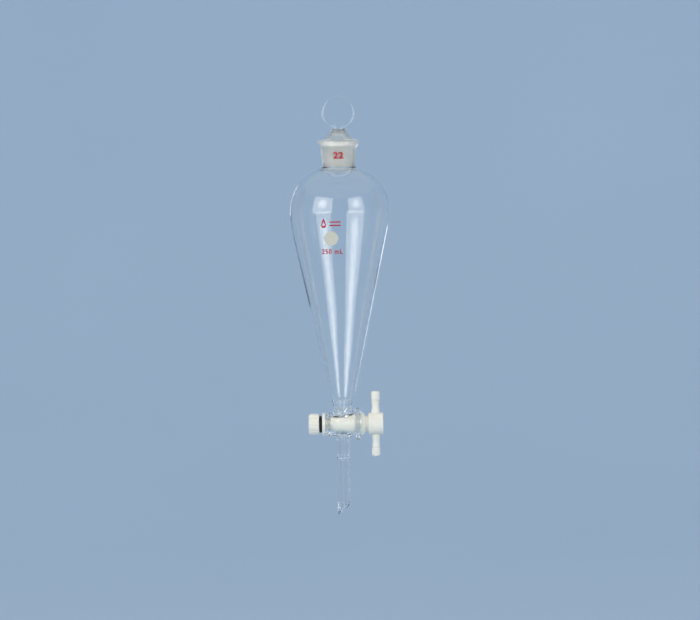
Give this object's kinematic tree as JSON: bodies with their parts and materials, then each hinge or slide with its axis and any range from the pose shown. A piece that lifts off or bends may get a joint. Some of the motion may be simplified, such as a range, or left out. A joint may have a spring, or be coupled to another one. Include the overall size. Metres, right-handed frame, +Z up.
{
  "type": "separatory funnel",
  "caption": "Pear-shaped glass separatory funnel with a ground glass stopper, a tapered white plug stopcock with T handle, and a slant-cut delivery stem.",
  "frame": {"origin": "on the body's axis, at the level of the stem's lowest point", "axes": "+Z up along the funnel's axis, towards the stopper; +X along the stopcock's axis, towards the handle; the marks face -Y"},
  "size_m": [0.0722, 0.0722, 0.3068],
  "materials": {
    "clear_glass": "clear polished borosilicate glass",
    "ground_glass": "frosted ground joint glass",
    "ptfe": "waxy off-white PTFE with fine turning marks",
    "black_rubber": "matte black elastomer",
    "red_enamel": "fired red enamel",
    "ivory_enamel": "matte fired ivory enamel that takes pencil"
  },
  "bodies": {
    "glass": {"neck_socket": "ground_glass", "pear_bulb": "clear_glass", "stopcock_barrel": "clear_glass", "delivery_stem": "clear_glass", "marking_spot": "ivory_enamel", "capacity_mark": "red_enamel", "blank_mark": "red_enamel", "size_mark": "red_enamel"},
    "stopper": {"stopper": "clear_glass"},
    "plug": {"stopcock_plug": "ptfe", "handle_bar": "ptfe"},
    "seals": {"ptfe_washer": "ptfe", "o_ring": "black_rubber"},
    "nut": {"tension_nut": "ptfe"}
  },
  "joints": [
    {"name": "stopper_lift", "type": "slide", "parent": "glass", "child": "stopper", "axis": [0, 0, 1], "range_m": [0, 0.06]},
    {"name": "plug_turn", "type": "hinge", "parent": "glass", "child": "plug", "pos_m": [0, 0, 0.067], "axis": [1, 0, 0], "continuous": true},
    {"name": "seal_slide", "type": "slide", "parent": "plug", "child": "seals", "axis": [-1, 0, 0], "range_m": [0, 0.006]},
    {"name": "nut_turn", "type": "hinge", "parent": "seals", "child": "nut", "pos_m": [-0.021, 0, 0.067], "axis": [-1, 0, 0], "range_deg": [0, 1440.4]}
  ],
  "couplings": [
    {"joint": "nut_turn", "follows": "seal_slide", "rad_per_m": 4188.8}
  ]
}
